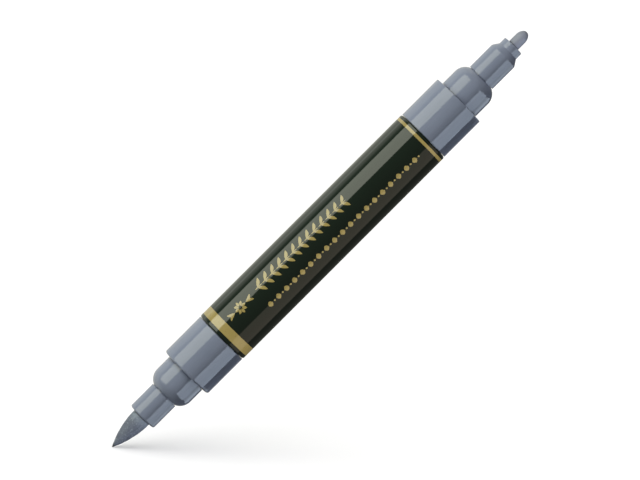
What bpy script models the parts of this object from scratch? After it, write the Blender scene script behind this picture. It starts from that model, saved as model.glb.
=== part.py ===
"""Double-ended felt tip marker, lying along X with its middle at the origin.

A slim barrel holds a fibre ink reservoir. A moulded section is pressed into each end of it:
the one towards -X carries a soft brush nib, the one towards +X a firm fibre nib.
Every piece is a turned shape about the X axis.
"""

import math
from dataclasses import dataclass

import bmesh
import bpy

MM = 0.001

# Barrel
BARREL_LENGTH = 60.86 * MM
BARREL_RADIUS = 6.5 * MM
BARREL_WALL = 1.0 * MM
BARREL_EDGE = 0.4 * MM
BARREL_LEAD_IN = 0.25 * MM

# Gold foil, stamped into shallow recesses near the barrel's two ends
BAND_WIDTH = 2.2 * MM
BAND_FROM_END = 0.93 * MM
LINE_WIDTH = 0.72 * MM
LINE_FROM_END = 0.76 * MM
FOIL_THICKNESS = 0.05 * MM

# Sections: the shape that both have
PLUG_LENGTH = 7.0 * MM
PLUG_LEAD_IN = 0.4 * MM
PLUG_WALL = 0.8 * MM
COLLAR_STEP = 0.1 * MM
COLLAR_BACK_EDGE = 0.1 * MM
DOME_RADIUS = 5.0 * MM
DOME_WALL = 1.1 * MM
SHOULDER_CURVE = 3.15 * MM
NECK_WALL = 1.1 * MM
TIP_WALL = 1.0 * MM
STOP_WEB = 1.6 * MM

# Nibs, reservoir and the film around it
BRUSH_LENGTH = 9.15 * MM
BRUSH_RADIUS = 2.2 * MM
FIBRE_LENGTH = 4.1 * MM
FIBRE_RADIUS = 1.35 * MM
FIBRE_TIP_LENGTH = 1.95 * MM
STEM_IN_WICK = 6.0 * MM
STEM_CHAMFER = 0.6 * MM
FILM_THICKNESS = 0.2 * MM
WICK_PROUD = 1.0 * MM

# Vent grooves, which let air past each nib
VENTS = 4
VENT_RADIUS = 0.35 * MM

# Clearances
PRESS_GAP = 0.1 * MM
SEAT_GAP = 0.1 * MM
NIB_GAP = 0.1 * MM
STEM_END_GAP = 0.3 * MM
FILM_GAP = 0.1 * MM
WICK_END_GAP = 0.5 * MM
FOIL_GAP = 0.02 * MM

# Radii that the ends share: the collars follow the barrel, and the necks fit the thicker nib
COLLAR_RADIUS = BARREL_RADIUS - COLLAR_STEP
NECK_BORE = BRUSH_RADIUS + NIB_GAP
NECK_RADIUS = NECK_BORE + NECK_WALL

# Smoothness of the turned shapes
SEGMENTS = 48
EDGE_STEPS = 2
CURVE_STEPS = 6


@dataclass(frozen=True)
class End:
    """One writing end. Distances run outwards from the barrel's end face."""

    collar_length: float
    collar_edge: float
    dome_length: float
    neck_length: float
    neck_edge: float
    nib_radius: float
    tip_length: float = 0.0
    tip_edge: float = 0.0
    cone_length: float = 0.0

    @property
    def bore(self):
        return self.nib_radius + NIB_GAP

    @property
    def tip_radius(self):
        return self.bore + TIP_WALL

    @property
    def shoulder_start(self):
        return self.collar_length + self.dome_length

    @property
    def neck_start(self):
        drop = DOME_RADIUS - NECK_RADIUS
        return self.shoulder_start + math.sqrt(SHOULDER_CURVE**2 - (SHOULDER_CURVE - drop) ** 2)

    @property
    def neck_front(self):
        return self.neck_start + self.neck_length

    @property
    def mouth(self):
        return self.neck_front + self.cone_length + self.tip_length

    @property
    def wick_stop(self):
        return self.collar_length - STOP_WEB

    @property
    def wick_end(self):
        return self.wick_stop - WICK_END_GAP

    @property
    def stem_end(self):
        return self.wick_end - STEM_IN_WICK


BRUSH_END = End(
    collar_length=10.67 * MM,
    collar_edge=0.5 * MM,
    dome_length=3.8 * MM,
    neck_length=6.85 * MM,
    neck_edge=0.4 * MM,
    nib_radius=BRUSH_RADIUS,
)
FIBRE_END = End(
    collar_length=10.77 * MM,
    collar_edge=0.12 * MM,
    dome_length=3.9 * MM,
    neck_length=6.85 * MM,
    neck_edge=1.2 * MM,
    nib_radius=FIBRE_RADIUS,
    tip_length=1.65 * MM,
    tip_edge=0.15 * MM,
    cone_length=1.4 * MM,
)

# Sizes that follow from the ones above
BARREL_BORE = BARREL_RADIUS - BARREL_WALL
PLUG_RADIUS = BARREL_BORE - PRESS_GAP
CHAMBER_RADIUS = PLUG_RADIUS - PLUG_WALL
FILM_RADIUS = CHAMBER_RADIUS - FILM_GAP
WICK_RADIUS = FILM_RADIUS - FILM_THICKNESS - FILM_GAP
FOIL_RECESS = FOIL_THICKNESS + FOIL_GAP
BRUSH_REACH = BRUSH_END.mouth + BRUSH_LENGTH
FIBRE_REACH = FIBRE_END.mouth + FIBRE_LENGTH
BARREL_CENTRE = (BRUSH_REACH - FIBRE_REACH) / 2
WICK_LENGTH = BARREL_LENGTH + BRUSH_END.wick_end + FIBRE_END.wick_end
WICK_CENTRE = BARREL_CENTRE + (FIBRE_END.wick_end - BRUSH_END.wick_end) / 2
FILM_LENGTH = WICK_LENGTH - 2 * WICK_PROUD


# ---------------------------------------------------------------- outlines


def arc(centre, radii, start, stop, steps):
    """Points on an ellipse about centre, from one angle to another, as (distance, radius)."""
    angles = [math.radians(start + (stop - start) * i / steps) for i in range(steps + 1)]
    return [
        (centre[0] + radii[0] * math.cos(a), centre[1] + radii[1] * math.sin(a)) for a in angles
    ]


def rounded(corners):
    """The outline through corners; a third number on a corner is the radius that rounds it."""
    outline = []
    for i, corner in enumerate(corners):
        here = corner[:2]
        if len(corner) == 2:
            outline.append(here)
            continue
        radius = corner[2]
        before = corners[i - 1][:2]
        after = corners[(i + 1) % len(corners)][:2]
        back = math.atan2(before[1] - here[1], before[0] - here[0])
        ahead = math.atan2(after[1] - here[1], after[0] - here[0])
        half = ((ahead - back + math.pi) % (2 * math.pi) - math.pi) / 2
        middle = back + half
        away = radius / math.sin(abs(half))
        centre = (here[0] + away * math.cos(middle), here[1] + away * math.sin(middle))
        swing = math.degrees(math.pi / 2 - abs(half))
        facing = math.degrees(middle) + 180
        turn = math.copysign(swing, half)
        points = arc(centre, (radius, radius), facing + turn, facing - turn, EDGE_STEPS)
        outline += points
    return outline


def edge(radius, wall):
    """The radius that rounds an edge, kept within half of the wall it is on."""
    return min(radius, wall / 2)


def recess(start, width):
    """Corners of a foil recess in the barrel's outer face."""
    floor = BARREL_RADIUS - FOIL_RECESS
    return [
        (start, BARREL_RADIUS),
        (start, floor),
        (start + width, floor),
        (start + width, BARREL_RADIUS),
    ]


def barrel_outline():
    half = BARREL_LENGTH / 2
    band_start = -half + BAND_FROM_END
    line_start = half - LINE_FROM_END - LINE_WIDTH
    return rounded([
        (-half, BARREL_BORE + BARREL_LEAD_IN),
        (-half, BARREL_RADIUS, edge(BARREL_EDGE, BARREL_WALL)),
        *recess(band_start, BAND_WIDTH),
        *recess(line_start, LINE_WIDTH),
        (half, BARREL_RADIUS, edge(BARREL_EDGE, BARREL_WALL)),
        (half, BARREL_BORE + BARREL_LEAD_IN),
        (half - BARREL_LEAD_IN, BARREL_BORE),
        (-half + BARREL_LEAD_IN, BARREL_BORE),
    ])


def foil_outline(width):
    """A ring of foil, centred on its own middle."""
    half = width / 2 - FOIL_GAP
    inside = BARREL_RADIUS - FOIL_THICKNESS
    return [(-half, inside), (-half, BARREL_RADIUS), (half, BARREL_RADIUS), (half, inside)]


def section_front(end):
    """Corners from the neck's front edge to the mouth, and back along the bore into the neck."""
    if end.tip_length == 0:
        return [
            (end.mouth, NECK_RADIUS, edge(end.neck_edge, NECK_WALL)),
            (end.mouth, end.bore),
        ]
    return [
        (end.neck_front, NECK_RADIUS, end.neck_edge),
        (end.neck_front + end.cone_length, end.tip_radius),
        (end.mouth, end.tip_radius, edge(end.tip_edge, TIP_WALL)),
        (end.mouth, end.bore),
        (end.neck_front, end.bore),
        (end.neck_front - (NECK_BORE - end.bore), NECK_BORE),
    ]


def section_outline(end):
    """Outer face from the plug to the mouth, then back along the bore and the wick chamber."""
    shoulder = arc(
        (end.shoulder_start, DOME_RADIUS - SHOULDER_CURVE),
        (SHOULDER_CURVE, SHOULDER_CURVE),
        90,
        math.degrees(math.asin((NECK_RADIUS - DOME_RADIUS + SHOULDER_CURVE) / SHOULDER_CURVE)),
        CURVE_STEPS,
    )
    dome_bore = DOME_RADIUS - DOME_WALL
    return rounded([
        (-PLUG_LENGTH, PLUG_RADIUS - PLUG_LEAD_IN),
        (-PLUG_LENGTH + PLUG_LEAD_IN, PLUG_RADIUS),
        (SEAT_GAP, PLUG_RADIUS),
        (SEAT_GAP, COLLAR_RADIUS, COLLAR_BACK_EDGE),
        (end.collar_length, COLLAR_RADIUS, edge(end.collar_edge, COLLAR_RADIUS - DOME_RADIUS)),
        (end.collar_length, DOME_RADIUS),
        *shoulder,
        *section_front(end),
        (end.neck_start, NECK_BORE),
        (end.shoulder_start, dome_bore),
        (end.wick_stop, dome_bore),
        (end.wick_stop, CHAMBER_RADIUS),
        (-PLUG_LENGTH, CHAMBER_RADIUS),
    ])


def stem_back(end):
    """Corners of a nib's stem from the mouth back to its pointed inner end, from the mouth at 0."""
    back = end.stem_end - end.mouth
    return [
        (back + STEM_CHAMFER, end.nib_radius),
        (back, end.nib_radius - STEM_CHAMFER),
        (back, 0),
    ]


def brush_outline():
    """The brush nib, from its point to its inner end: an ogive that leaves the stem smoothly."""
    bow = (BRUSH_RADIUS**2 + BRUSH_LENGTH**2) / (2 * BRUSH_RADIUS)
    tip_angle = math.degrees(math.asin(BRUSH_LENGTH / bow))
    ogive = arc((0, BRUSH_RADIUS - bow), (bow, bow), 90 - tip_angle, 90, CURVE_STEPS)
    ogive[0] = (BRUSH_LENGTH, 0)
    return ogive + stem_back(BRUSH_END)


def fibre_outline():
    """The fibre nib, from its rounded tip to its inner end."""
    straight = FIBRE_LENGTH - FIBRE_TIP_LENGTH
    tip = arc((straight, 0), (FIBRE_TIP_LENGTH, FIBRE_RADIUS), 0, 90, CURVE_STEPS)
    tip[0] = (FIBRE_LENGTH, 0)
    return tip + stem_back(FIBRE_END)


def wick_outline():
    """The reservoir, with a socket in each end for a nib's stem, from its middle."""
    half = WICK_LENGTH / 2
    socket_depth = STEM_IN_WICK + STEM_END_GAP
    return [
        (half - socket_depth, 0),
        (half - socket_depth, FIBRE_END.bore),
        (half, FIBRE_END.bore),
        (half, WICK_RADIUS),
        (-half, WICK_RADIUS),
        (-half, BRUSH_END.bore),
        (-half + socket_depth, BRUSH_END.bore),
        (-half + socket_depth, 0),
    ]


def film_outline():
    half = FILM_LENGTH / 2
    inside = FILM_RADIUS - FILM_THICKNESS
    return [(-half, inside), (-half, FILM_RADIUS), (half, FILM_RADIUS), (half, inside)]


# ---------------------------------------------------------------- building


def empty(name, x, parent=None, turned=False):
    """An axis marker that carries pieces; turned faces it towards -X."""
    marker = bpy.data.objects.new(name, None)
    marker.empty_display_size = 5 * MM
    marker.location.x = x
    marker.rotation_euler.z = math.pi if turned else 0
    marker.parent = parent
    bpy.context.collection.objects.link(marker)
    return marker


def material(name, colour, roughness, metallic=0.0):
    """A Principled material; colour is linear red, green and blue."""
    made = bpy.data.materials.new(name)
    made.use_nodes = True
    shader = made.node_tree.nodes["Principled BSDF"]
    shader.inputs["Base Color"].default_value = (*colour, 1.0)
    shader.inputs["Roughness"].default_value = roughness
    shader.inputs["Metallic"].default_value = metallic
    made.diffuse_color = (*colour, 1.0)
    return made


def turned(name, outline, finish, x=0.0, parent=None):
    """An outline of (distance, radius) points spun about its own X axis into a solid."""
    bm = bmesh.new()
    half_step = math.pi / SEGMENTS
    verts = [
        bm.verts.new((along, r * math.sin(half_step), r * math.cos(half_step)))
        for along, r in outline
    ]
    edges = [bm.edges.new(pair) for pair in zip(verts, verts[1:])]
    on_axis = outline[0][1] == 0 and outline[-1][1] == 0
    if not on_axis:
        edges.append(bm.edges.new((verts[-1], verts[0])))
    bmesh.ops.spin(
        bm,
        geom=verts + edges,
        cent=(0, 0, 0),
        axis=(1, 0, 0),
        angle=2 * math.pi,
        steps=SEGMENTS,
        use_merge=True,
    )
    bmesh.ops.remove_doubles(bm, verts=bm.verts, dist=MM / 1000)
    bmesh.ops.recalc_face_normals(bm, faces=bm.faces)
    if bm.calc_volume(signed=True) < 0:
        bmesh.ops.reverse_faces(bm, faces=bm.faces)
    mesh = bpy.data.meshes.new(name)
    bm.to_mesh(mesh)
    bm.free()
    mesh.shade_smooth()
    mesh.set_sharp_from_angle(angle=math.radians(30))
    mesh.materials.append(finish)
    piece = bpy.data.objects.new(name, mesh)
    piece.location.x = x
    piece.parent = parent
    bpy.context.collection.objects.link(piece)
    return piece


def vent_cutter(name, end, parent):
    """Rods along the bore's wall, from inside the dome to past the mouth."""
    bm = bmesh.new()
    start = end.shoulder_start
    length = end.mouth + VENT_RADIUS - start
    for i in range(VENTS):
        angle = 2 * math.pi * (i + 0.5) / VENTS
        made = bmesh.ops.create_cone(
            bm,
            cap_ends=True,
            segments=12,
            radius1=VENT_RADIUS,
            radius2=VENT_RADIUS,
            depth=length,
        )
        for vert in made["verts"]:
            across, up, along = vert.co
            vert.co = (
                start + length / 2 + along,
                end.bore * math.cos(angle) + across,
                end.bore * math.sin(angle) + up,
            )
    bmesh.ops.recalc_face_normals(bm, faces=bm.faces)
    mesh = bpy.data.meshes.new(name)
    bm.to_mesh(mesh)
    bm.free()
    cutter = bpy.data.objects.new(name, mesh)
    cutter.display_type = "WIRE"
    cutter.hide_render = True
    cutter.parent = parent
    bpy.context.collection.objects.link(cutter)
    return cutter


def section(name, end, finish, parent):
    """A moulded section: a turned shell with vent grooves cut along its nib's bore."""
    piece = turned(name, section_outline(end), finish, parent=parent)
    cut = piece.modifiers.new("Vents", "BOOLEAN")
    cut.operation = "DIFFERENCE"
    cut.object = vent_cutter(name + "_vents", end, parent)


def main():
    for old in list(bpy.data.objects):
        bpy.data.objects.remove(old, do_unlink=True)

    grey = (0.155, 0.181, 0.235)
    ink_grey = (0.107, 0.122, 0.150)
    barrel_end = BARREL_LENGTH / 2

    marker = empty("marker", 0)
    brush_end = empty("brush_end", BARREL_CENTRE - barrel_end, marker, turned=True)
    fibre_end = empty("fibre_end", BARREL_CENTRE + barrel_end, marker)
    brush_flex = empty("brush_flex", BRUSH_END.mouth, brush_end)

    green = material("bottle_green_plastic", (0.008, 0.014, 0.010), 0.12)
    turned("barrel", barrel_outline(), green, BARREL_CENTRE, marker)

    gold = material("gold_foil", (0.46, 0.36, 0.13), 0.3, metallic=1.0)
    band_middle = BARREL_CENTRE - barrel_end + BAND_FROM_END + BAND_WIDTH / 2
    line_middle = BARREL_CENTRE + barrel_end - LINE_FROM_END - LINE_WIDTH / 2
    turned("wide_gold_band", foil_outline(BAND_WIDTH), gold, band_middle, marker)
    turned("narrow_gold_band", foil_outline(LINE_WIDTH), gold, line_middle, marker)

    section("brush_section", BRUSH_END, material("grey_plastic_brush_end", grey, 0.2), brush_end)
    section("fibre_section", FIBRE_END, material("grey_plastic_fibre_end", grey, 0.2), fibre_end)

    brush_felt = material("brush_felt", ink_grey, 0.85)
    turned("brush_nib", brush_outline(), brush_felt, parent=brush_flex)
    fibre_felt = material("fibre_nib_felt", grey, 0.7)
    turned("fibre_nib", fibre_outline(), fibre_felt, FIBRE_END.mouth, fibre_end)

    turned("ink_wick", wick_outline(), material("inked_fibre", ink_grey, 0.9), WICK_CENTRE, marker)
    film = material("clear_film", (0.75, 0.78, 0.8), 0.15)
    turned("wick_film", film_outline(), film, WICK_CENTRE, marker)


main()
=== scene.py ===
"""How the double-ended felt tip marker looks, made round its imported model.

The marker lies along X: the brush nib points to -X and the fibre nib to +X.
"""

import math

import bmesh
import bpy
from mathutils import Matrix, Vector, noise


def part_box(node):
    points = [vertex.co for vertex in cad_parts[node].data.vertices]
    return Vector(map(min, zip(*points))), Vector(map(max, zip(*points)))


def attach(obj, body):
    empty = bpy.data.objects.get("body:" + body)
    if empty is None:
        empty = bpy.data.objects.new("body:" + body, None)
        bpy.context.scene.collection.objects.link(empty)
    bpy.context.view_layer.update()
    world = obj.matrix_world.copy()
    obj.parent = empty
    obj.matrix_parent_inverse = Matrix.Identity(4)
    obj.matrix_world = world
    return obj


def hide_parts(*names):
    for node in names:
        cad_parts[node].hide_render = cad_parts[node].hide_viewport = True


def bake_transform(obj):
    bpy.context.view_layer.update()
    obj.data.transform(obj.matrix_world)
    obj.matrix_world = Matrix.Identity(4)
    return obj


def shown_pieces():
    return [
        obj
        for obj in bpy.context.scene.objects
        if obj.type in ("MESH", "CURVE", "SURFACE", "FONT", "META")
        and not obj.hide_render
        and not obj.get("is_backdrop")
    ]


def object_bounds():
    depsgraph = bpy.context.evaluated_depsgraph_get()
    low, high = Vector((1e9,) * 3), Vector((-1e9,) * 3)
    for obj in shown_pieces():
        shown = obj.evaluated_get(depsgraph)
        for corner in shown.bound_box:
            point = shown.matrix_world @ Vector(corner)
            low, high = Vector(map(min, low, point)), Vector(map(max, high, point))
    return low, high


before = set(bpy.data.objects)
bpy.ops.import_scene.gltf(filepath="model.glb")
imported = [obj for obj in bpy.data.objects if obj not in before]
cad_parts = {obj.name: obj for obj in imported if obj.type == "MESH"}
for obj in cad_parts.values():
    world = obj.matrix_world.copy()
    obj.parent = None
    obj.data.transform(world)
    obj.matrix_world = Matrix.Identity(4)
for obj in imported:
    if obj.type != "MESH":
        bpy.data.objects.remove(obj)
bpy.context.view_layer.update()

MM = 0.001

# ---------------------------------------------------------------- ink wick
# The reservoir: a rod of crimped polyester fibre, bonded with heat as it is drawn, cut to length
# and soaked with ink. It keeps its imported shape, because the barrel hides it.


def linear(code):
    """An sRGB hex colour as linear red, green, blue and alpha."""
    channels = [int(code[i : i + 2], 16) / 255 for i in (1, 3, 5)]
    return (*[c / 12.92 if c <= 0.04045 else ((c + 0.055) / 1.055) ** 2.4 for c in channels], 1.0)


def add_node(tree, kind, inputs=None, **settings):
    """Adds a node. Settings are its own choices; inputs are values, or sockets to link from."""
    made = tree.nodes.new(kind)
    for name, value in settings.items():
        setattr(made, name, value)
    for name, value in (inputs or {}).items():
        if isinstance(value, bpy.types.NodeSocket):
            tree.links.new(value, made.inputs[name])
        else:
            made.inputs[name].default_value = value
    return made


def start_material(name):
    """A new material, with its node tree, its Principled shader and the piece's coordinates."""
    made = bpy.data.materials.new(name)
    made.use_nodes = True
    coords = add_node(made.node_tree, "ShaderNodeTexCoord")
    return made, made.node_tree, made.node_tree.nodes["Principled BSDF"], coords.outputs["Object"]


def streaked(tree, place, length, width, detail, turned=(0.0, 0.0, 0.0)):
    """Noise drawn out along the marker, with streaks of this length and width."""
    drawn_out = add_node(
        tree,
        "ShaderNodeMapping",
        {"Vector": place, "Rotation": turned, "Scale": (1 / length, 1 / width, 1 / width)},
    )
    streaks = add_node(
        tree, "ShaderNodeTexNoise", {"Vector": drawn_out.outputs[0], "Scale": 1.0, "Detail": detail}
    )
    return streaks.outputs[0]


def blended(tree, share, first, second):
    """A colour between two others, which are values or sockets."""
    mixed = add_node(tree, "ShaderNodeMix", {0: share, 6: first, 7: second}, data_type="RGBA")
    return mixed.outputs[2]


def raised(tree, height, distance, strength):
    """Normals of a surface that rises by this distance where the height is one."""
    relief = add_node(
        tree, "ShaderNodeBump", {"Height": height, "Distance": distance, "Strength": strength}
    )
    return relief.outputs[0]


# Ink-soaked polyester: matt, with streaks along the fibres. A fibre is 0.02 mm thick, too fine to
# show, so the streaks are 0.25 mm wide and 6 mm long.
wick_look, tree, shader, place = start_material("ink_soaked_polyester")
streaks = streaked(tree, place, 6 * MM, 0.25 * MM, detail=3.0)
ink = blended(tree, streaks, linear("#3F4653"), linear("#565E6B"))
tree.links.new(ink, shader.inputs["Base Color"])
tree.links.new(raised(tree, streaks, 0.06 * MM, strength=0.7), shader.inputs["Normal"])
shader.inputs["Roughness"].default_value = 0.85
shader.inputs["IOR"].default_value = 1.5
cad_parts["ink_wick"].material_slots[0].material = wick_look

# ---------------------------------------------------------------- wick film
# A sleeve of clear film, rolled and welded round the wick to hold the ink in.
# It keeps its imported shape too.


def remapped(tree, value, limits, results=(0.0, 1.0), easing="LINEAR"):
    """A value whose limits become these results, with nothing past either."""
    fitted = add_node(
        tree,
        "ShaderNodeMapRange",
        {
            "Value": value,
            "From Min": limits[0],
            "From Max": limits[1],
            "To Min": results[0],
            "To Max": results[1],
        },
        interpolation_type=easing,
    )
    return fitted.outputs[0]


# Blown polypropylene film: clear, with a slight haze and long soft wrinkles about 3 mm apart.
film_look, tree, shader, place = start_material("clear_blown_film")
wrinkles = streaked(tree, place, 14 * MM, 3 * MM, detail=2.0)
haze = remapped(tree, wrinkles, (0.0, 1.0), (0.08, 0.22))
tree.links.new(haze, shader.inputs["Roughness"])
tree.links.new(raised(tree, wrinkles, 0.1 * MM, strength=0.6), shader.inputs["Normal"])
shader.inputs["Base Color"].default_value = linear("#F4F7F8")
shader.inputs["Transmission Weight"].default_value = 1.0
shader.inputs["IOR"].default_value = 1.49
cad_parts["wick_film"].material_slots[0].material = film_look

# ---------------------------------------------------------------- barrel
# A plain tube, injection moulded in bottle green plastic and polished, with both end faces
# rounded over and two shallow recesses for the foil.

BARREL_LOW, BARREL_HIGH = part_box("barrel")
BARREL_RADIUS = BARREL_HIGH.z
BARREL_WALL = 1.0 * MM
BARREL_BORE = BARREL_RADIUS - BARREL_WALL
BARREL_EDGE = 0.4 * MM
LEAD_IN = 0.25 * MM
RECESS_DEPTH = 0.07 * MM
RECESS_GAP = 0.02 * MM
ON_AXIS = 1e-9
SHARP_EDGE = math.radians(32)


def outline(corners, steps=8, margin=0.06 * MM):
    """The closed outline through (distance, radius) corners.

    A third number on a corner rounds it. Each long side gets a short strip at both ends, so that
    the rounding doesn't shade into it.
    """
    points = []
    for i, corner in enumerate(corners):
        here = Vector(corner[:2])
        if len(corner) == 2:
            points.append(here)
            continue
        back = (Vector(corners[i - 1][:2]) - here).normalized()
        ahead = (Vector(corners[(i + 1) % len(corners)][:2]) - here).normalized()
        half = back.angle(ahead) / 2
        centre = here + (back + ahead).normalized() * corner[2] / math.sin(half)
        start = here + back * corner[2] / math.tan(half) - centre
        swing = start.angle_signed(here + ahead * corner[2] / math.tan(half) - centre)
        points += [
            centre + Matrix.Rotation(-swing * step / steps, 2) @ start for step in range(steps + 1)
        ]
    padded = []
    for here, there in zip(points, points[1:] + points[:1]):
        side = there - here
        padded.append(here)
        if side.length > 4 * margin and (here.y > 0 or there.y > 0):
            padded += [here + side.normalized() * margin, there - side.normalized() * margin]
    return [(p.x, p.y) for p in padded]


def join_rings(bm, near, far, segments):
    """Adds the faces between two rings, either of which may be a single vertex."""
    for i in range(segments if len(near) + len(far) > 2 else 0):
        j = (i + 1) % segments
        corners = (near[i % len(near)], far[i % len(far)], far[j % len(far)], near[j % len(near)])
        bm.faces.new(list(dict.fromkeys(corners)))


def make_object(name, bm):
    """An object in the scene with the shape that was built, which this uses up."""
    mesh = bpy.data.meshes.new(name)
    bm.to_mesh(mesh)
    bm.free()
    made = bpy.data.objects.new(name, mesh)
    bpy.context.collection.objects.link(made)
    return made


def turn(name, points, look, segments=240, cut=None):
    """A closed solid turned about the X axis from (distance, radius) points.

    Points on the axis close its ends. cut, if given, returns how much deeper a radius is at an
    angle.
    """
    bm = bmesh.new()
    rings = []
    for along, radius in points:
        if radius < ON_AXIS:
            rings.append([bm.verts.new((along, 0, 0))])
            continue
        ring = []
        for step in range(segments):
            angle = 2 * math.pi * step / segments
            reach = radius + (cut(along, radius, angle) if cut else 0)
            ring.append(bm.verts.new((along, -reach * math.cos(angle), reach * math.sin(angle))))
        rings.append(ring)
    pairs = list(zip(rings, rings[1:]))
    if len(rings[0]) > 1:
        pairs.append((rings[-1], rings[0]))
    for near, far in pairs:
        join_rings(bm, near, far, segments)
    if bm.calc_volume(signed=True) < 0:
        bmesh.ops.reverse_faces(bm, faces=bm.faces)
    piece = make_object(name, bm)
    piece.data.shade_smooth()
    piece.data.set_sharp_from_angle(angle=SHARP_EDGE)
    piece.data.materials.append(look)
    return piece


def recess(low, high):
    """Corners of a foil recess between two distances, in the barrel's outer face."""
    floor = BARREL_RADIUS - RECESS_DEPTH
    return [(low, BARREL_RADIUS), (low, floor), (high, floor), (high, BARREL_RADIUS)]


def clouded(tree, place, size, detail):
    """Even noise, with clouds of this size."""
    clouds = add_node(
        tree, "ShaderNodeTexNoise", {"Vector": place, "Scale": 1 / size, "Detail": detail}
    )
    return clouds.outputs[0]


# Moulded and polished ABS, bottle green and nearly black: mirror-like, with edges kept crisp in
# it, hairline handling scratches and a very faint ripple where the mould's polish wanders.
barrel_look, tree, shader, place = start_material("polished_green_abs")
clouds = clouded(tree, place, 9 * MM, detail=2.0)
green = blended(tree, clouds, linear("#17221B"), linear("#1B2820"))
scratches = streaked(tree, place, 7 * MM, 0.09 * MM, detail=1.0, turned=(0.0, 0.12, 0.2))
scratched = remapped(tree, scratches, (0.62, 0.78), (0.06, 0.2))
ripple = clouded(tree, place, 2.2 * MM, detail=1.0)
tree.links.new(green, shader.inputs["Base Color"])
tree.links.new(scratched, shader.inputs["Roughness"])
tree.links.new(raised(tree, ripple, 0.004 * MM, strength=0.5), shader.inputs["Normal"])
shader.inputs["IOR"].default_value = 1.53

BAND_LOW, BAND_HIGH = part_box("wide_gold_band")
LINE_LOW, LINE_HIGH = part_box("narrow_gold_band")
barrel = turn(
    "bottle_green_barrel",
    outline([
        (BARREL_LOW.x, BARREL_BORE + LEAD_IN),
        (BARREL_LOW.x, BARREL_RADIUS, BARREL_EDGE),
        *recess(BAND_LOW.x - RECESS_GAP, BAND_HIGH.x + RECESS_GAP),
        *recess(LINE_LOW.x - RECESS_GAP, LINE_HIGH.x + RECESS_GAP),
        (BARREL_HIGH.x, BARREL_RADIUS, BARREL_EDGE),
        (BARREL_HIGH.x, BARREL_BORE + LEAD_IN),
        (BARREL_HIGH.x - LEAD_IN, BARREL_BORE),
        (BARREL_LOW.x + LEAD_IN, BARREL_BORE),
    ]),
    barrel_look,
)
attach(barrel, "marker_body")
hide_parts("barrel")

# ---------------------------------------------------------------- gold bands
# Two rings of hot-stamped gold foil: a wide one near the brush end of the barrel and a narrow one
# near the fibre end. Heat and pressure bond the foil into its recess.

FOIL_THICKNESS = 0.05 * MM
FOIL_EDGE = 0.012 * MM
FOIL_EDGE_STRIP = 0.02 * MM

# Hot-stamped foil: a satin gold layer under hard clear lacquer, so it is warm and even, with a
# crisp pale gleam on top. The satin wanders in soft clouds 1.5 mm wide, and pinholes show where
# the foil missed.
foil_look, tree, shader, place = start_material("hot_stamped_gold_foil")
satin = clouded(tree, place, 1.5 * MM, detail=4.0)
gold = blended(tree, satin, linear("#9F8D4E"), linear("#AB985B"))
pinholes = clouded(tree, place, 0.16 * MM, detail=1.0)
missed = remapped(tree, pinholes, (0.72, 0.76))
worn = blended(tree, missed, gold, linear("#4C4628"))
smeared = remapped(tree, satin, (0.0, 1.0), (0.62, 0.82))
tree.links.new(worn, shader.inputs["Base Color"])
tree.links.new(smeared, shader.inputs["Roughness"])
tree.links.new(raised(tree, satin, 0.006 * MM, strength=0.4), shader.inputs["Normal"])
shader.inputs["Metallic"].default_value = 0.3
shader.inputs["Coat Weight"].default_value = 1.0
shader.inputs["Coat Roughness"].default_value = 0.08
shader.inputs["Coat IOR"].default_value = 1.75

for name, node, low, high in (
    ("wide_gold_foil_band", "wide_gold_band", BAND_LOW, BAND_HIGH),
    ("narrow_gold_foil_band", "narrow_gold_band", LINE_LOW, LINE_HIGH),
):
    corners = [
        (low.x, BARREL_RADIUS - FOIL_THICKNESS),
        (low.x, BARREL_RADIUS, FOIL_EDGE),
        (high.x, BARREL_RADIUS, FOIL_EDGE),
        (high.x, BARREL_RADIUS - FOIL_THICKNESS),
    ]
    band = turn(name, outline(corners, steps=3, margin=FOIL_EDGE_STRIP), foil_look)
    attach(band, "marker_body")
    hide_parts(node)

# ---------------------------------------------------------------- foil ornament
# Decoration in the same foil, stamped along the side of the barrel: a rosette between two leaves,
# then a garland of leaves, and under it a row of small lozenges.

STAMP_DEPTH = 0.02 * MM
STAMP_RELIEF = 0.02 * MM
BLUNT_TIP = 0.04
ROSETTE_AT = -22.0 * MM
GARLAND_START = -16.4 * MM
GARLAND_STEP = 2.1 * MM
ROW_START = -16.9 * MM
ROW_STEP = 2.4 * MM


def leaf(bm, root, tip, width, bow=0.0, steps=8):
    """Adds a thin closed leaf between two points of the flat (x, across), widest in the middle."""
    root, tip = Vector(root), Vector(tip)
    along = tip - root
    side = Vector((-along.y, along.x)).normalized()
    rows = []
    for i in range(steps + 1):
        t = i / steps
        middle = root + along * t + side * bow * math.sin(math.pi * t)
        half = width / 2 * max(math.sin(math.pi * t) ** 0.8, BLUNT_TIP)
        spots = [middle - side * half, middle, middle + side * half]
        rows.append([
            [bm.verts.new((p.x, p.y, high)) for p in spots] for high in (-STAMP_DEPTH, STAMP_RELIEF)
        ])
    for near, far in zip(rows, rows[1:]):
        for k in (0, 1):
            bm.faces.new([near[0][k], far[0][k], far[0][k + 1], near[0][k + 1]])
        for k in (0, 1):
            bm.faces.new([near[1][k + 1], far[1][k + 1], far[1][k], near[1][k]])
        for k in (0, 2):
            bm.faces.new([near[0][k], near[1][k], far[1][k], far[0][k]])
    for row in (rows[0], rows[-1]):
        for k in (0, 1):
            bm.faces.new([row[0][k], row[0][k + 1], row[1][k + 1], row[1][k]])


def stamped_motif(name, leaves):
    """A flat motif of leaves as an object, ready to be repeated and wrapped on the barrel."""
    bm = bmesh.new()
    for root, tip, width, bow in leaves:
        leaf(bm, root, tip, width, bow)
    bmesh.ops.recalc_face_normals(bm, faces=bm.faces)
    return make_object(name, bm)


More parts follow.
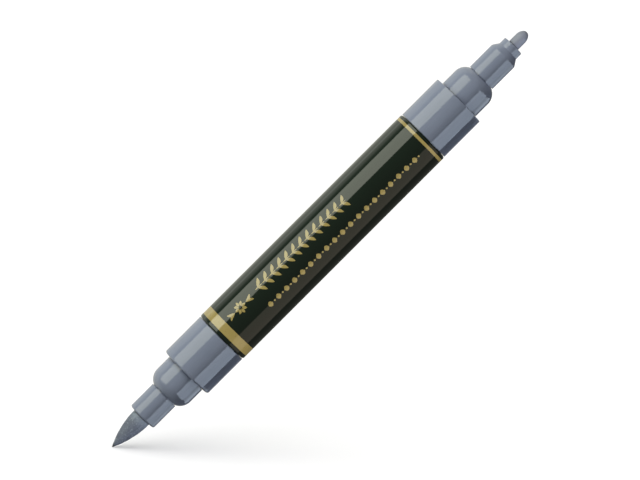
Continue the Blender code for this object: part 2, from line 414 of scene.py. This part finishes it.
def start_tree(name, result, inputs):
    """A new geometry node tree with one result, and the sockets of its named inputs."""
    made = bpy.data.node_groups.new(name, "GeometryNodeTree")
    for label, kind in inputs.items():
        made.interface.new_socket(label, in_out="INPUT", socket_type="NodeSocket" + kind)
    made.interface.new_socket(result, in_out="OUTPUT", socket_type="NodeSocketGeometry")
    return made, add_node(made, "NodeGroupInput").outputs


def run_tree(tree, piece, values):
    """Runs a geometry node tree on a piece, and leaves it holding the finished plain mesh."""
    step = piece.modifiers.new(tree.name, "NODES")
    step.node_group = tree
    for item in tree.interface.items_tree:
        if item.in_out == "INPUT" and item.name in values:
            step[item.identifier] = values[item.name]
    finished = piece.evaluated_get(bpy.context.evaluated_depsgraph_get())
    made = bpy.data.meshes.new_from_object(finished)
    piece.modifiers.clear()
    piece.data = made


def worked_out(tree, operation, *values):
    """The result of a sum with values or sockets."""
    return add_node(
        tree, "ShaderNodeMath", dict(enumerate(values)), operation=operation
    ).outputs[0]


# The tree repeats its motif along a line or round a ring, then wraps the flat row on the barrel:
# the distance across becomes an angle, and the height stays a height.
stamping, given = start_tree(
    "stamped_row",
    "Row",
    {
        "Motif": "Geometry",
        "Count": "Int",
        "Start": "Vector",
        "Step": "Vector",
        "Turn": "Float",
        "Last size": "Float",
        "Barrel radius": "Float",
        "Round the barrel": "Float",
        "Foil": "Material",
    },
)
spots = add_node(
    stamping,
    "GeometryNodeMeshLine",
    {"Count": given["Count"], "Start Location": given["Start"], "Offset": given["Step"]},
)
index = add_node(stamping, "GeometryNodeInputIndex").outputs[0]
facing = add_node(
    stamping, "ShaderNodeCombineXYZ", {"Z": worked_out(stamping, "MULTIPLY", index, given["Turn"])}
)
last = worked_out(stamping, "SUBTRACT", given["Count"], 1.0)
repeated = add_node(
    stamping,
    "GeometryNodeInstanceOnPoints",
    {
        "Points": spots.outputs[0],
        "Instance": given["Motif"],
        "Rotation": facing.outputs[0],
        "Scale": remapped(stamping, index, (0.0, last), (1.0, given["Last size"])),
    },
)
flat_row = add_node(stamping, "GeometryNodeRealizeInstances", {0: repeated.outputs[0]})
position = add_node(stamping, "GeometryNodeInputPosition").outputs[0]
spot = add_node(stamping, "ShaderNodeSeparateXYZ", {0: position}).outputs
reach = worked_out(stamping, "ADD", spot["Z"], given["Barrel radius"])
swung = worked_out(stamping, "DIVIDE", spot["Y"], given["Barrel radius"])
swung = worked_out(stamping, "ADD", swung, given["Round the barrel"])
forward = worked_out(stamping, "MULTIPLY", worked_out(stamping, "COSINE", swung), reach)
upward = worked_out(stamping, "MULTIPLY", worked_out(stamping, "SINE", swung), reach)
backward = worked_out(stamping, "MULTIPLY", forward, -1.0)
wrapped = add_node(stamping, "ShaderNodeCombineXYZ", {"X": spot["X"], "Y": backward, "Z": upward})
on_barrel = add_node(
    stamping,
    "GeometryNodeSetPosition",
    {"Geometry": flat_row.outputs[0], "Position": wrapped.outputs[0]},
)
finished = add_node(
    stamping,
    "GeometryNodeSetMaterial",
    {"Geometry": on_barrel.outputs[0], "Material": given["Foil"]},
)
add_node(stamping, "NodeGroupOutput", {"Row": finished.outputs[0]})


def stamp(motif, start, step, count, turned=0.0, last_size=1.0, height=0.0):
    """Stamps a motif count times in foil. height is its angle in degrees above the barrel's side."""
    values = {
        "Count": count,
        "Start": (start, 0, 0),
        "Step": (step, 0, 0),
        "Turn": turned,
        "Last size": last_size,
        "Barrel radius": BARREL_RADIUS,
        "Round the barrel": math.radians(height),
        "Foil": foil_look,
    }
    run_tree(stamping, motif, values)
    motif.data.shade_flat()
    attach(motif, "marker_body")


petals = stamped_motif("rosette_petals", [((0.35 * MM, 0), (1.45 * MM, 0), 0.62 * MM, 0)])
stamp(petals, ROSETTE_AT, step=0, count=8, turned=math.pi / 4, height=15)
side_leaves = stamped_motif(
    "rosette_side_leaves",
    [
        ((1.65 * MM, 0), (3.4 * MM, 0.75 * MM), 0.62 * MM, -0.2 * MM),
        ((1.65 * MM, 0), (3.4 * MM, -0.75 * MM), 0.62 * MM, 0.2 * MM),
    ],
)
stamp(side_leaves, ROSETTE_AT, step=0, count=2, turned=math.pi, height=15)
garland = stamped_motif(
    "leaf_garland",
    [
        ((-0.8 * MM, 0), (1.3 * MM, 0), 0.3 * MM, 0),
        ((0.0 * MM, 0.1 * MM), (1.35 * MM, 1.75 * MM), 0.78 * MM, -0.2 * MM),
        ((0.0 * MM, -0.1 * MM), (1.35 * MM, -1.75 * MM), 0.78 * MM, 0.2 * MM),
    ],
)
stamp(garland, GARLAND_START, GARLAND_STEP, count=13, last_size=0.9, height=18.5)
lozenges = stamped_motif(
    "lozenge_row",
    [
        ((-0.62 * MM, 0), (0.62 * MM, 0), 1.3 * MM, 0),
        ((0.95 * MM, 0), (1.45 * MM, 0), 0.42 * MM, 0),
    ],
)
stamp(lozenges, ROW_START, ROW_STEP, count=19, height=-21.5)

# ---------------------------------------------------------------- sections
# The two moulded ends: polypropylene in the ink's colour, each a plug, collar, dome and neck in
# one piece. The plug is pressed into the barrel, and the neck holds the nib.

COLLAR_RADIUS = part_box("brush_section")[1].z
COLLAR_BACK_EDGE = 0.1 * MM
SEAT_GAP = 0.1 * MM
PLUG_LENGTH = 7.0 * MM
PLUG_LEAD_IN = 0.4 * MM
PLUG_RADIUS = BARREL_BORE - 0.1 * MM
CHAMBER_RADIUS = PLUG_RADIUS - 0.8 * MM
DOME_RADIUS = 5.0 * MM
DOME_BORE = DOME_RADIUS - 1.1 * MM
SHOULDER_CURVE = 3.15 * MM
SHOULDER_STEPS = 24
NECK_BORE = 2.3 * MM
NECK_RADIUS = 3.4 * MM
WICK_STOP = 1.6 * MM
VENTS = 4
VENT_RADIUS = 0.35 * MM
GROOVE_WIDTH = 0.2 * MM
GROOVE_DEPTH = 0.3 * MM


def groove(start, radius):
    """Corners of a groove that parts a shape of this radius from the step behind it."""
    floor = radius - GROOVE_DEPTH
    return [(start, floor), (start + GROOVE_WIDTH, floor), (start + GROOVE_WIDTH, radius)]


def section_outline(end, way, collar, collar_edge, dome, front):
    """A section's outline: from its plug along the outside to its mouth, and back inside.

    end is the barrel's end face, way is -1 or 1 along X, collar and dome are lengths, and front
    is the corners from the neck to the mouth and back into the neck.
    """
    top = collar + dome
    shoulder = []
    steepest = math.acos((NECK_RADIUS - DOME_RADIUS + SHOULDER_CURVE) / SHOULDER_CURVE)
    for step in range(SHOULDER_STEPS + 1):
        lean = steepest * step / SHOULDER_STEPS
        shoulder.append((
            top + SHOULDER_CURVE * math.sin(lean),
            DOME_RADIUS - SHOULDER_CURVE * (1 - math.cos(lean)),
        ))
    neck = shoulder[-1][0]
    corners = [
        (-PLUG_LENGTH, PLUG_RADIUS - PLUG_LEAD_IN),
        (-PLUG_LENGTH + PLUG_LEAD_IN, PLUG_RADIUS),
        (SEAT_GAP, PLUG_RADIUS),
        (SEAT_GAP, COLLAR_RADIUS, COLLAR_BACK_EDGE),
        (collar, COLLAR_RADIUS, collar_edge),
        *groove(collar, DOME_RADIUS),
        *shoulder,
        *groove(neck, NECK_RADIUS),
        *front,
        (neck, NECK_BORE),
        (top, DOME_BORE),
        (collar - WICK_STOP, DOME_BORE),
        (collar - WICK_STOP, CHAMBER_RADIUS),
        (-PLUG_LENGTH, CHAMBER_RADIUS),
    ]
    return [(end + way * along, radius) for along, radius in outline(corners)]


def vents(bore):
    """Grooves along a bore that let air past the nib: how much deeper each angle is."""

    def depth(along, radius, angle):
        if abs(radius - bore) > 0.001 * MM:
            return 0.0
        sector = 2 * math.pi / VENTS
        off = bore * abs((angle % sector) - sector / 2)
        return math.sqrt(VENT_RADIUS**2 - off**2) if off < VENT_RADIUS else 0.0

    return depth


# Gloss moulded polypropylene, tinted blue-grey to show the ink's colour: a soft body colour with
# crisp highlights, a faint mottle where the pigment flowed, and fine rub marks from the cap.
section_look, tree, shader, place = start_material("moulded_blue_grey_polypropylene")
mottle = streaked(tree, place, 7 * MM, 2.5 * MM, detail=3.0)
grey = blended(tree, mottle, linear("#7A829A"), linear("#848BA2"))
rub_marks = streaked(tree, place, 5 * MM, 0.12 * MM, detail=2.0, turned=(0.0, 0.05, -0.1))
rubbed = remapped(tree, rub_marks, (0.55, 0.8), (0.05, 0.14))
skin = clouded(tree, place, 0.7 * MM, detail=2.0)
tree.links.new(grey, shader.inputs["Base Color"])
tree.links.new(rubbed, shader.inputs["Roughness"])
tree.links.new(raised(tree, skin, 0.003 * MM, strength=0.5), shader.inputs["Normal"])
shader.inputs["IOR"].default_value = 1.5

BRUSH_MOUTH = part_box("brush_section")[0].x
BRUSH_COLLAR = 10.67 * MM
BRUSH_COLLAR_EDGE = 0.5 * MM
BRUSH_DOME = 3.8 * MM
BRUSH_NECK_EDGE = 0.4 * MM
mouth = BARREL_LOW.x - BRUSH_MOUTH
front = [(mouth, NECK_RADIUS, BRUSH_NECK_EDGE), (mouth, NECK_BORE)]
brush_section = turn(
    "brush_end_section",
    section_outline(BARREL_LOW.x, -1, BRUSH_COLLAR, BRUSH_COLLAR_EDGE, BRUSH_DOME, front),
    section_look,
    cut=vents(NECK_BORE),
)
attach(brush_section, "marker_body")
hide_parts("brush_section")

FIBRE_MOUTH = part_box("fibre_section")[1].x
FIBRE_COLLAR = 10.77 * MM
FIBRE_COLLAR_EDGE = 0.12 * MM
FIBRE_DOME = 3.9 * MM
FIBRE_NECK_EDGE = 1.2 * MM
CONE_LENGTH = 1.4 * MM
TIP_LENGTH = 1.65 * MM
TIP_EDGE = 0.15 * MM
TIP_RADIUS = 2.45 * MM
TIP_BORE = 1.45 * MM
mouth = FIBRE_MOUTH - BARREL_HIGH.x
tip_start = mouth - TIP_LENGTH
neck_front = tip_start - CONE_LENGTH
front = [
    (neck_front, NECK_RADIUS, FIBRE_NECK_EDGE),
    (tip_start, TIP_RADIUS),
    (mouth, TIP_RADIUS, TIP_EDGE),
    (mouth, TIP_BORE),
    (neck_front, TIP_BORE),
    (neck_front - (NECK_BORE - TIP_BORE), NECK_BORE),
]
fibre_section = turn(
    "fibre_end_section",
    section_outline(BARREL_HIGH.x, 1, FIBRE_COLLAR, FIBRE_COLLAR_EDGE, FIBRE_DOME, front),
    section_look,
    cut=vents(TIP_BORE),
)
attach(fibre_section, "marker_body")
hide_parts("fibre_section")

# ---------------------------------------------------------------- fibre nib
# The firm nib: polyester fibres bonded with resin into a rod, ground to a bullet at the front and
# chamfered at the back, where it is pushed into the wick.

FIBRE_STEM_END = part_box("fibre_nib")[0].x
FIBRE_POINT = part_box("fibre_nib")[1].x
FIBRE_RADIUS = 1.35 * MM
BULLET_LENGTH = 1.95 * MM
BULLET_STEPS = 24
STEM_CHAMFER = 0.6 * MM
STEM_EDGE_STRIP = 0.1 * MM
NIB_SEGMENTS = 128


def past(tree, place, start, full, most):
    """A share that grows along X from nothing at the start to its most where it is full."""
    spot = add_node(tree, "ShaderNodeSeparateXYZ", {0: place})
    return remapped(tree, spot.outputs["X"], (start, full), (0.0, most), easing="SMOOTHSTEP")


# Bonded polyester rod full of ink: smooth and semi-matt, slightly more violet than the plastic,
# with fine grooves along the fibres, drawn 0.08 mm wide, and a darker, wetter point. A ring of
# painted shade darkens the rod where it enters the section's mouth.
fibre_look, tree, shader, place = start_material("bonded_polyester_rod")
fibres = streaked(tree, place, 3 * MM, 0.08 * MM, detail=2.0)
grey = blended(tree, fibres, linear("#757A8B"), linear("#868A9A"))
wet = past(tree, place, FIBRE_POINT - 0.7 * MM, FIBRE_POINT, most=0.7)
pointed = blended(tree, wet, grey, linear("#4A4E5E"))
# Painted shade: a dark ring on the rod next to the mouth, standing in for the shadow at the joint.
painted_mouth_shade = past(tree, place, FIBRE_MOUTH + 0.3 * MM, FIBRE_MOUTH + 0.15 * MM, most=0.7)
with_painted_mouth_shade = blended(tree, painted_mouth_shade, pointed, linear("#343842"))
tree.links.new(with_painted_mouth_shade, shader.inputs["Base Color"])
tree.links.new(raised(tree, fibres, 0.02 * MM, strength=0.6), shader.inputs["Normal"])
shader.inputs["Roughness"].default_value = 0.48
shader.inputs["IOR"].default_value = 1.5

straight_end = FIBRE_POINT - BULLET_LENGTH
bullet = []
for step in range(BULLET_STEPS, -1, -1):
    lean = math.pi / 2 * step / BULLET_STEPS
    bullet.append((straight_end + BULLET_LENGTH * math.sin(lean), FIBRE_RADIUS * math.cos(lean)))
bullet[0] = (FIBRE_POINT, 0.0)
stem = [
    (straight_end - STEM_EDGE_STRIP, FIBRE_RADIUS),
    (FIBRE_STEM_END + STEM_CHAMFER + STEM_EDGE_STRIP, FIBRE_RADIUS),
    (FIBRE_STEM_END + STEM_CHAMFER, FIBRE_RADIUS),
    (FIBRE_STEM_END, FIBRE_RADIUS - STEM_CHAMFER),
    (FIBRE_STEM_END, 0.0),
]
fibre_nib = turn("bullet_fibre_nib", bullet + stem, fibre_look, segments=NIB_SEGMENTS)
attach(fibre_nib, "marker_body")
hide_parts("fibre_nib")

# ---------------------------------------------------------------- brush nib
# The soft nib: looser felt of the same fibres, ground to a long point, which on the real marker
# bends like a brush past the mouth. Its stem is held in the neck and the wick.

BRUSH_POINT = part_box("brush_nib")[0].x
BRUSH_STEM_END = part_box("brush_nib")[1].x
BRUSH_RADIUS = 2.2 * MM
BRUSH_LENGTH = BRUSH_MOUTH - BRUSH_POINT
TAPER_STEPS = 60
UNEVENNESS = 0.02 * MM
UNEVEN_ALONG = 1.5 * MM
SMOOTH_POINT = 0.6 * MM
FIBRE_END_LENGTH = 0.8 * MM
FIBRE_END_WIDTH = 0.07 * MM
FIBRE_END_SIDES = 5
FIBRE_END_SPREAD = math.radians(9)
FIBRE_ENDS_PER_SQUARE_METRE = 9e6
BARE_AT_MOUTH = 0.6 * MM

# Ground felt full of ink: matt blue-grey, streaked along its fibres, with pale specks painted in
# as highlights where a cut fibre end would catch the light. It dries paler towards the mouth, has
# a ring of painted shade where the neck holds it, and is almost black where the ink gathers at the
# point.
felt_look, tree, shader, place = start_material("ground_ink_felt")
streaks = streaked(tree, place, 1.6 * MM, 0.16 * MM, detail=3.0)
grey = blended(tree, streaks, linear("#565D6E"), linear("#6D7485"))
cut_ends = clouded(tree, place, 0.42 * MM, detail=2.0)
# Painted highlights: pale specks in the colour where cut fibre ends would catch the light.
painted_glint_mask = remapped(tree, cut_ends, (0.56, 0.68), (0.0, 0.6))
with_painted_glints = blended(tree, painted_glint_mask, grey, linear("#98A1AC"))
drier = past(tree, place, BRUSH_MOUTH - 2.6 * MM, BRUSH_MOUTH, most=0.55)
paled = blended(tree, drier, with_painted_glints, linear("#99A5B6"))
# Painted shade: a dark ring on the felt next to the mouth, standing in for the shadow at the joint.
painted_mouth_shade = past(tree, place, BRUSH_MOUTH - 0.3 * MM, BRUSH_MOUTH - 0.15 * MM, most=0.8)
with_painted_mouth_shade = blended(tree, painted_mouth_shade, paled, linear("#2E343C"))
gathered = past(tree, place, BRUSH_POINT + 1.3 * MM, BRUSH_POINT + 0.1 * MM, most=1.0)
pointed = blended(tree, gathered, with_painted_mouth_shade, linear("#1E2328"))
height = worked_out(tree, "ADD", streaks, cut_ends)
tree.links.new(pointed, shader.inputs["Base Color"])
tree.links.new(raised(tree, height, 0.05 * MM, strength=0.6), shader.inputs["Normal"])
shader.inputs["Roughness"].default_value = 0.6
shader.inputs["IOR"].default_value = 1.5

bow = (BRUSH_RADIUS**2 + BRUSH_LENGTH**2) / (2 * BRUSH_RADIUS)
steepest = math.asin(BRUSH_LENGTH / bow)
taper = []
for step in range(TAPER_STEPS + 1):
    lean = steepest * (1 - step / TAPER_STEPS)
    taper.append((BRUSH_MOUTH - bow * math.sin(lean), BRUSH_RADIUS - bow * (1 - math.cos(lean))))
taper[0] = (BRUSH_POINT, 0.0)
stem = [
    (BRUSH_STEM_END - STEM_CHAMFER, BRUSH_RADIUS),
    (BRUSH_STEM_END, BRUSH_RADIUS - STEM_CHAMFER),
    (BRUSH_STEM_END, 0.0),
]


def ground(along, radius, angle):
    """The slight unevenness that grinding leaves on the felt, fading out at the point."""
    across, upward = radius * math.cos(angle) / MM, radius * math.sin(angle) / MM
    height = noise.noise(Vector((along / UNEVEN_ALONG, across, upward))) - 0.5
    return min(radius / SMOOTH_POINT, 1.0) * UNEVENNESS * height


brush_nib = turn("brush_felt_nib", taper + stem, felt_look, segments=NIB_SEGMENTS, cut=ground)

# One cut fibre end: a slim closed spindle, laid along the felt by the tree below.
bm = bmesh.new()
spindle = []
for at, thick in ((-0.5, 0.0), (-0.25, 0.8), (0.1, 1.0), (0.5, 0.0)):
    along = at * FIBRE_END_LENGTH
    reach = FIBRE_END_WIDTH / 2 * thick
    ring = []
    for corner in range(FIBRE_END_SIDES if thick else 1):
        angle = 2 * math.pi * corner / FIBRE_END_SIDES
        ring.append(bm.verts.new((along, reach * math.cos(angle), reach * math.sin(angle))))
    spindle.append(ring)
for near, far in zip(spindle, spindle[1:]):
    join_rings(bm, near, far, FIBRE_END_SIDES)
bmesh.ops.recalc_face_normals(bm, faces=bm.faces)
fibre_end = make_object("cut_fibre_end", bm)
fibre_end.data.shade_smooth()

# The tree scatters fibre ends over the ground part of the felt, lays each along the taper with a
# small random turn, and joins them to the nib.
felting, given = start_tree(
    "felt_fibre_ends",
    "Nib",
    {
        "Nib": "Geometry",
        "Fibre end": "Object",
        "Ends per square metre": "Float",
        "Mouth": "Float",
        "Smallest turn": "Float",
        "Largest turn": "Float",
        "Seed": "Int",
        "Felt": "Material",
    },
)
position = add_node(felting, "GeometryNodeInputPosition").outputs[0]
spot = add_node(felting, "ShaderNodeSeparateXYZ", {0: position})
outside = add_node(
    felting,
    "FunctionNodeCompare",
    {0: spot.outputs["X"], 1: given["Mouth"]},
    data_type="FLOAT",
    operation="LESS_THAN",
)
scattered = add_node(
    felting,
    "GeometryNodeDistributePointsOnFaces",
    {
        "Mesh": given["Nib"],
        "Selection": outside.outputs[0],
        "Density": given["Ends per square metre"],
        "Seed": given["Seed"],
    },
)
laid = add_node(
    felting,
    "FunctionNodeAxesToRotation",
    {"Primary Axis": scattered.outputs["Normal"], "Secondary Axis": (1.0, 0.0, 0.0)},
    primary_axis="Z",
    secondary_axis="X",
)
yaw = add_node(
    felting,
    "FunctionNodeRandomValue",
    {2: given["Smallest turn"], 3: given["Largest turn"], "Seed": given["Seed"]},
    data_type="FLOAT",
)
wandering = add_node(felting, "ShaderNodeCombineXYZ", {"Z": yaw.outputs[1]})
wandering = add_node(felting, "FunctionNodeEulerToRotation", {0: wandering.outputs[0]})
turned_end = add_node(
    felting,
    "FunctionNodeRotateRotation",
    {"Rotation": laid.outputs[0], "Rotate By": wandering.outputs[0]},
    rotation_space="LOCAL",
)
one_end = add_node(felting, "GeometryNodeObjectInfo", {"Object": given["Fibre end"]})
ends = add_node(
    felting,
    "GeometryNodeInstanceOnPoints",
    {
        "Points": scattered.outputs["Points"],
        "Instance": one_end.outputs["Geometry"],
        "Rotation": turned_end.outputs[0],
    },
)
joined = add_node(felting, "GeometryNodeJoinGeometry")
felting.links.new(ends.outputs[0], joined.inputs[0])
felting.links.new(given["Nib"], joined.inputs[0])
real = add_node(felting, "GeometryNodeRealizeInstances", {0: joined.outputs[0]})
finished = add_node(
    felting, "GeometryNodeSetMaterial", {"Geometry": real.outputs[0], "Material": given["Felt"]}
)
add_node(felting, "NodeGroupOutput", {"Nib": finished.outputs[0]})

values = {
    "Fibre end": fibre_end,
    "Ends per square metre": FIBRE_ENDS_PER_SQUARE_METRE,
    "Mouth": BRUSH_MOUTH - BARE_AT_MOUTH,
    "Smallest turn": -FIBRE_END_SPREAD,
    "Largest turn": FIBRE_END_SPREAD,
    "Seed": 7,
    "Felt": felt_look,
}
run_tree(felting, brush_nib, values)
bpy.data.objects.remove(fibre_end)
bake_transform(brush_nib)
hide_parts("brush_nib")

# ---------------------------------------------------------------- studio
# The marker stands on its brush point on a plain white floor and leans halfway over. Soft boxes
# above and below it draw its long highlights, and behind it is a bright wall.

UPRIGHT = Vector((1, 0, 1)).normalized()
TOWARDS_CAMERA = Vector((0, -1, 0))
CAMERA_RISE = math.radians(11)
FLOOR_REACH = 6.0

floor_up = UPRIGHT * math.cos(CAMERA_RISE) + TOWARDS_CAMERA * math.sin(CAMERA_RISE)
floor_side = floor_up.cross(TOWARDS_CAMERA).normalized()
floor_back = floor_up.cross(floor_side)
corners = [
    Vector((BRUSH_POINT, 0, 0)) + floor_side * a * FLOOR_REACH + floor_back * b * FLOOR_REACH
    for a, b in ((-1, -1), (1, -1), (1, 1), (-1, 1))
]
bm = bmesh.new()
bm.faces.new([bm.verts.new(c) for c in corners])
bm.normal_update()
if next(iter(bm.faces)).normal.dot(floor_up) < 0:
    bmesh.ops.reverse_faces(bm, faces=bm.faces)
floor = make_object("white_floor", bm)
floor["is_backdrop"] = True

# Matt white board, which can't be seen from below.
board, tree, shader, place = start_material("matt_white_board")
shader.inputs["Base Color"].default_value = linear("#E6E6E8")
shader.inputs["Roughness"].default_value = 1.0
shader.inputs["Specular IOR Level"].default_value = 0.0
facing_away = add_node(tree, "ShaderNodeNewGeometry").outputs["Backfacing"]
clear = add_node(tree, "ShaderNodeBsdfTransparent")
one_sided = add_node(
    tree, "ShaderNodeMixShader", {0: facing_away, 1: shader.outputs[0], 2: clear.outputs[0]}
)
tree.links.new(one_sided.outputs[0], tree.nodes["Material Output"].inputs["Surface"])
floor.data.materials.append(board)
for kind in ("diffuse", "glossy", "transmission", "volume_scatter", "shadow"):
    setattr(floor, "visible_" + kind, False)


def group(name, members):
    """A named group of pieces, for the lamps that light only them."""
    made = bpy.data.collections.new(name)
    for piece in members:
        made.objects.link(piece)
    return made


whole_marker = list(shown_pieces())
gold = [piece for piece in whole_marker if foil_look in list(piece.data.materials)]
nibs = [brush_nib, fibre_nib]
floor_only = group("floor_only", [floor])
marker_only = group("marker_only", whole_marker)
barrel_only = group("barrel_only", [barrel, *gold])
gold_only = group("gold_only", gold)
ends_only = group("ends_only", [brush_section, fibre_section, *nibs])
nibs_only = group("nibs_only", nibs)

LAMP_DISTANCE = 0.5
RIM_DISTANCE = 0.15


def soft_box(name, receivers, angles, length, brightness, colour, along=0.0, near=LAMP_DISTANCE):
    """A rectangular lamp over the marker, as long as it is along X, for one group of pieces.

    angles are its centre and its width in degrees, from the camera's side towards +Z. along is
    the middle of its length, and near its distance from the axis.
    """
    centre, width = (math.radians(angle) for angle in angles)
    outwards = Vector((0, -math.cos(centre), math.sin(centre)))
    lamp = bpy.data.lights.new(name, "AREA")
    lamp.shape = "RECTANGLE"
    lamp.size = length
    lamp.size_y = 2 * near * math.tan(width / 2)
    lamp.energy = brightness * math.pi * lamp.size * lamp.size_y
    lamp.color = colour
    made = bpy.data.objects.new(name, lamp)
    bpy.context.collection.objects.link(made)
    across = Vector((1, 0, 0))
    made.matrix_world = Matrix.Translation(outwards * near + across * along) @ (
        Matrix((across, outwards.cross(across), outwards)).transposed().to_4x4()
    )
    made.visible_camera = False
    made.light_linking.receiver_collection = receivers
    return made


# The long highlights: one down the upper side, a thin one at the top edge of the barrel, and one
# down the lower side.
soft_box("upper_soft_box", marker_only, (53, 48), 0.72, 2.85, (0.97, 1.0, 0.84))
soft_box("edge_strip", barrel_only, (114, 7), 0.9, 0.7, (0.95, 1.0, 0.95))
soft_box("lower_soft_box", barrel_only, (-68, 54), 0.58, 0.62, (1.0, 0.88, 0.7))
gleam = soft_box("lower_gleam", ends_only, (-68, 54), 0.58, 2.9, (0.85, 1.0, 1.2))
gleam.visible_diffuse = False

# Fills, which light the matt part of a surface and are not mirrored in it.
for fill in (
    soft_box("lower_fill", ends_only, (-68, 54), 0.58, 1.05, (0.95, 1.0, 1.1)),
    soft_box("gold_fill", gold_only, (-60, 54), 0.58, 2.4, (1.0, 1.0, 1.0)),
    soft_box("fibre_end_fill", ends_only, (30, 24), 0.2, 5.5, (1.0, 0.97, 0.92), along=0.3),
    soft_box("nib_fill", nibs_only, (-30, 60), 0.4, 1.3, (1.0, 0.98, 1.05)),
):
    fill.visible_glossy = False

# Rims: a small lamp close behind and below each end, which draws a pale line on its lower edge.
for name, length, along in (("brush_end_rim", 0.043, -0.0685), ("fibre_end_rim", 0.047, 0.0715)):
    soft_box(name, ends_only, (-115, 40), length, 2.0, (0.87, 1.0, 1.15), along, RIM_DISTANCE)

# A broad sky over the floor, so that the marker's shadow is soft and close to its point.
sky = bpy.data.lights.new("overhead_light", "SUN")
sky.angle = math.radians(165)
sky.energy = 4.0
overhead_light = bpy.data.objects.new("overhead_light", sky)
bpy.context.collection.objects.link(overhead_light)
overhead_light.rotation_euler = (UPRIGHT + TOWARDS_CAMERA).to_track_quat("Z", "Y").to_euler()
overhead_light.light_linking.receiver_collection = floor_only

# The room: white where the camera sees past the floor, and for the marker a bright wall behind
# and above, dark towards the front.
world = bpy.data.worlds.new("studio_room")
bpy.context.scene.world = world
world.use_nodes = True
tree = world.node_tree
tree.nodes.clear()
facing = add_node(tree, "ShaderNodeTexCoord").outputs["Generated"]
way = add_node(tree, "ShaderNodeSeparateXYZ", {0: facing}).outputs
behind = remapped(tree, way["Y"], (-0.12, 0.25), easing="SMOOTHSTEP")
above = remapped(tree, way["Z"], (-0.45, 0.2), easing="SMOOTHSTEP")
room = remapped(tree, worked_out(tree, "MULTIPLY", behind, above), (0.0, 1.0), (0.11, 0.8))
seen = add_node(tree, "ShaderNodeBackground", {"Color": (1, 1, 1, 1), "Strength": 1.05})
felt = add_node(tree, "ShaderNodeBackground", {"Color": (1.0, 1.0, 0.88, 1), "Strength": room})
camera_ray = add_node(tree, "ShaderNodeLightPath").outputs["Is Camera Ray"]
mixed = add_node(
    tree, "ShaderNodeMixShader", {0: camera_ray, 1: felt.outputs[0], 2: seen.outputs[0]}
)
add_node(tree, "ShaderNodeOutputWorld", {"Surface": mixed.outputs[0]})

# A long lens from the side, turned so that the marker leans from lower left to upper right.
STAND = Vector((5.7 * MM, -0.96, -0.15 * MM))
AIM = Vector((0.07 * MM, 0, -0.15 * MM))
camera_data = bpy.data.cameras.new("camera")
camera_data.lens = 252.6
camera_data.sensor_width = 36
camera = bpy.data.objects.new("camera", camera_data)
bpy.context.collection.objects.link(camera)
back = (STAND - AIM).normalized()
right = UPRIGHT.cross(back).normalized()
camera.matrix_world = Matrix.Translation(STAND) @ (
    Matrix((right, back.cross(right), back)).transposed().to_4x4()
)
bpy.context.scene.camera = camera
bpy.context.scene.view_settings.view_transform = "Standard"

low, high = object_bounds()
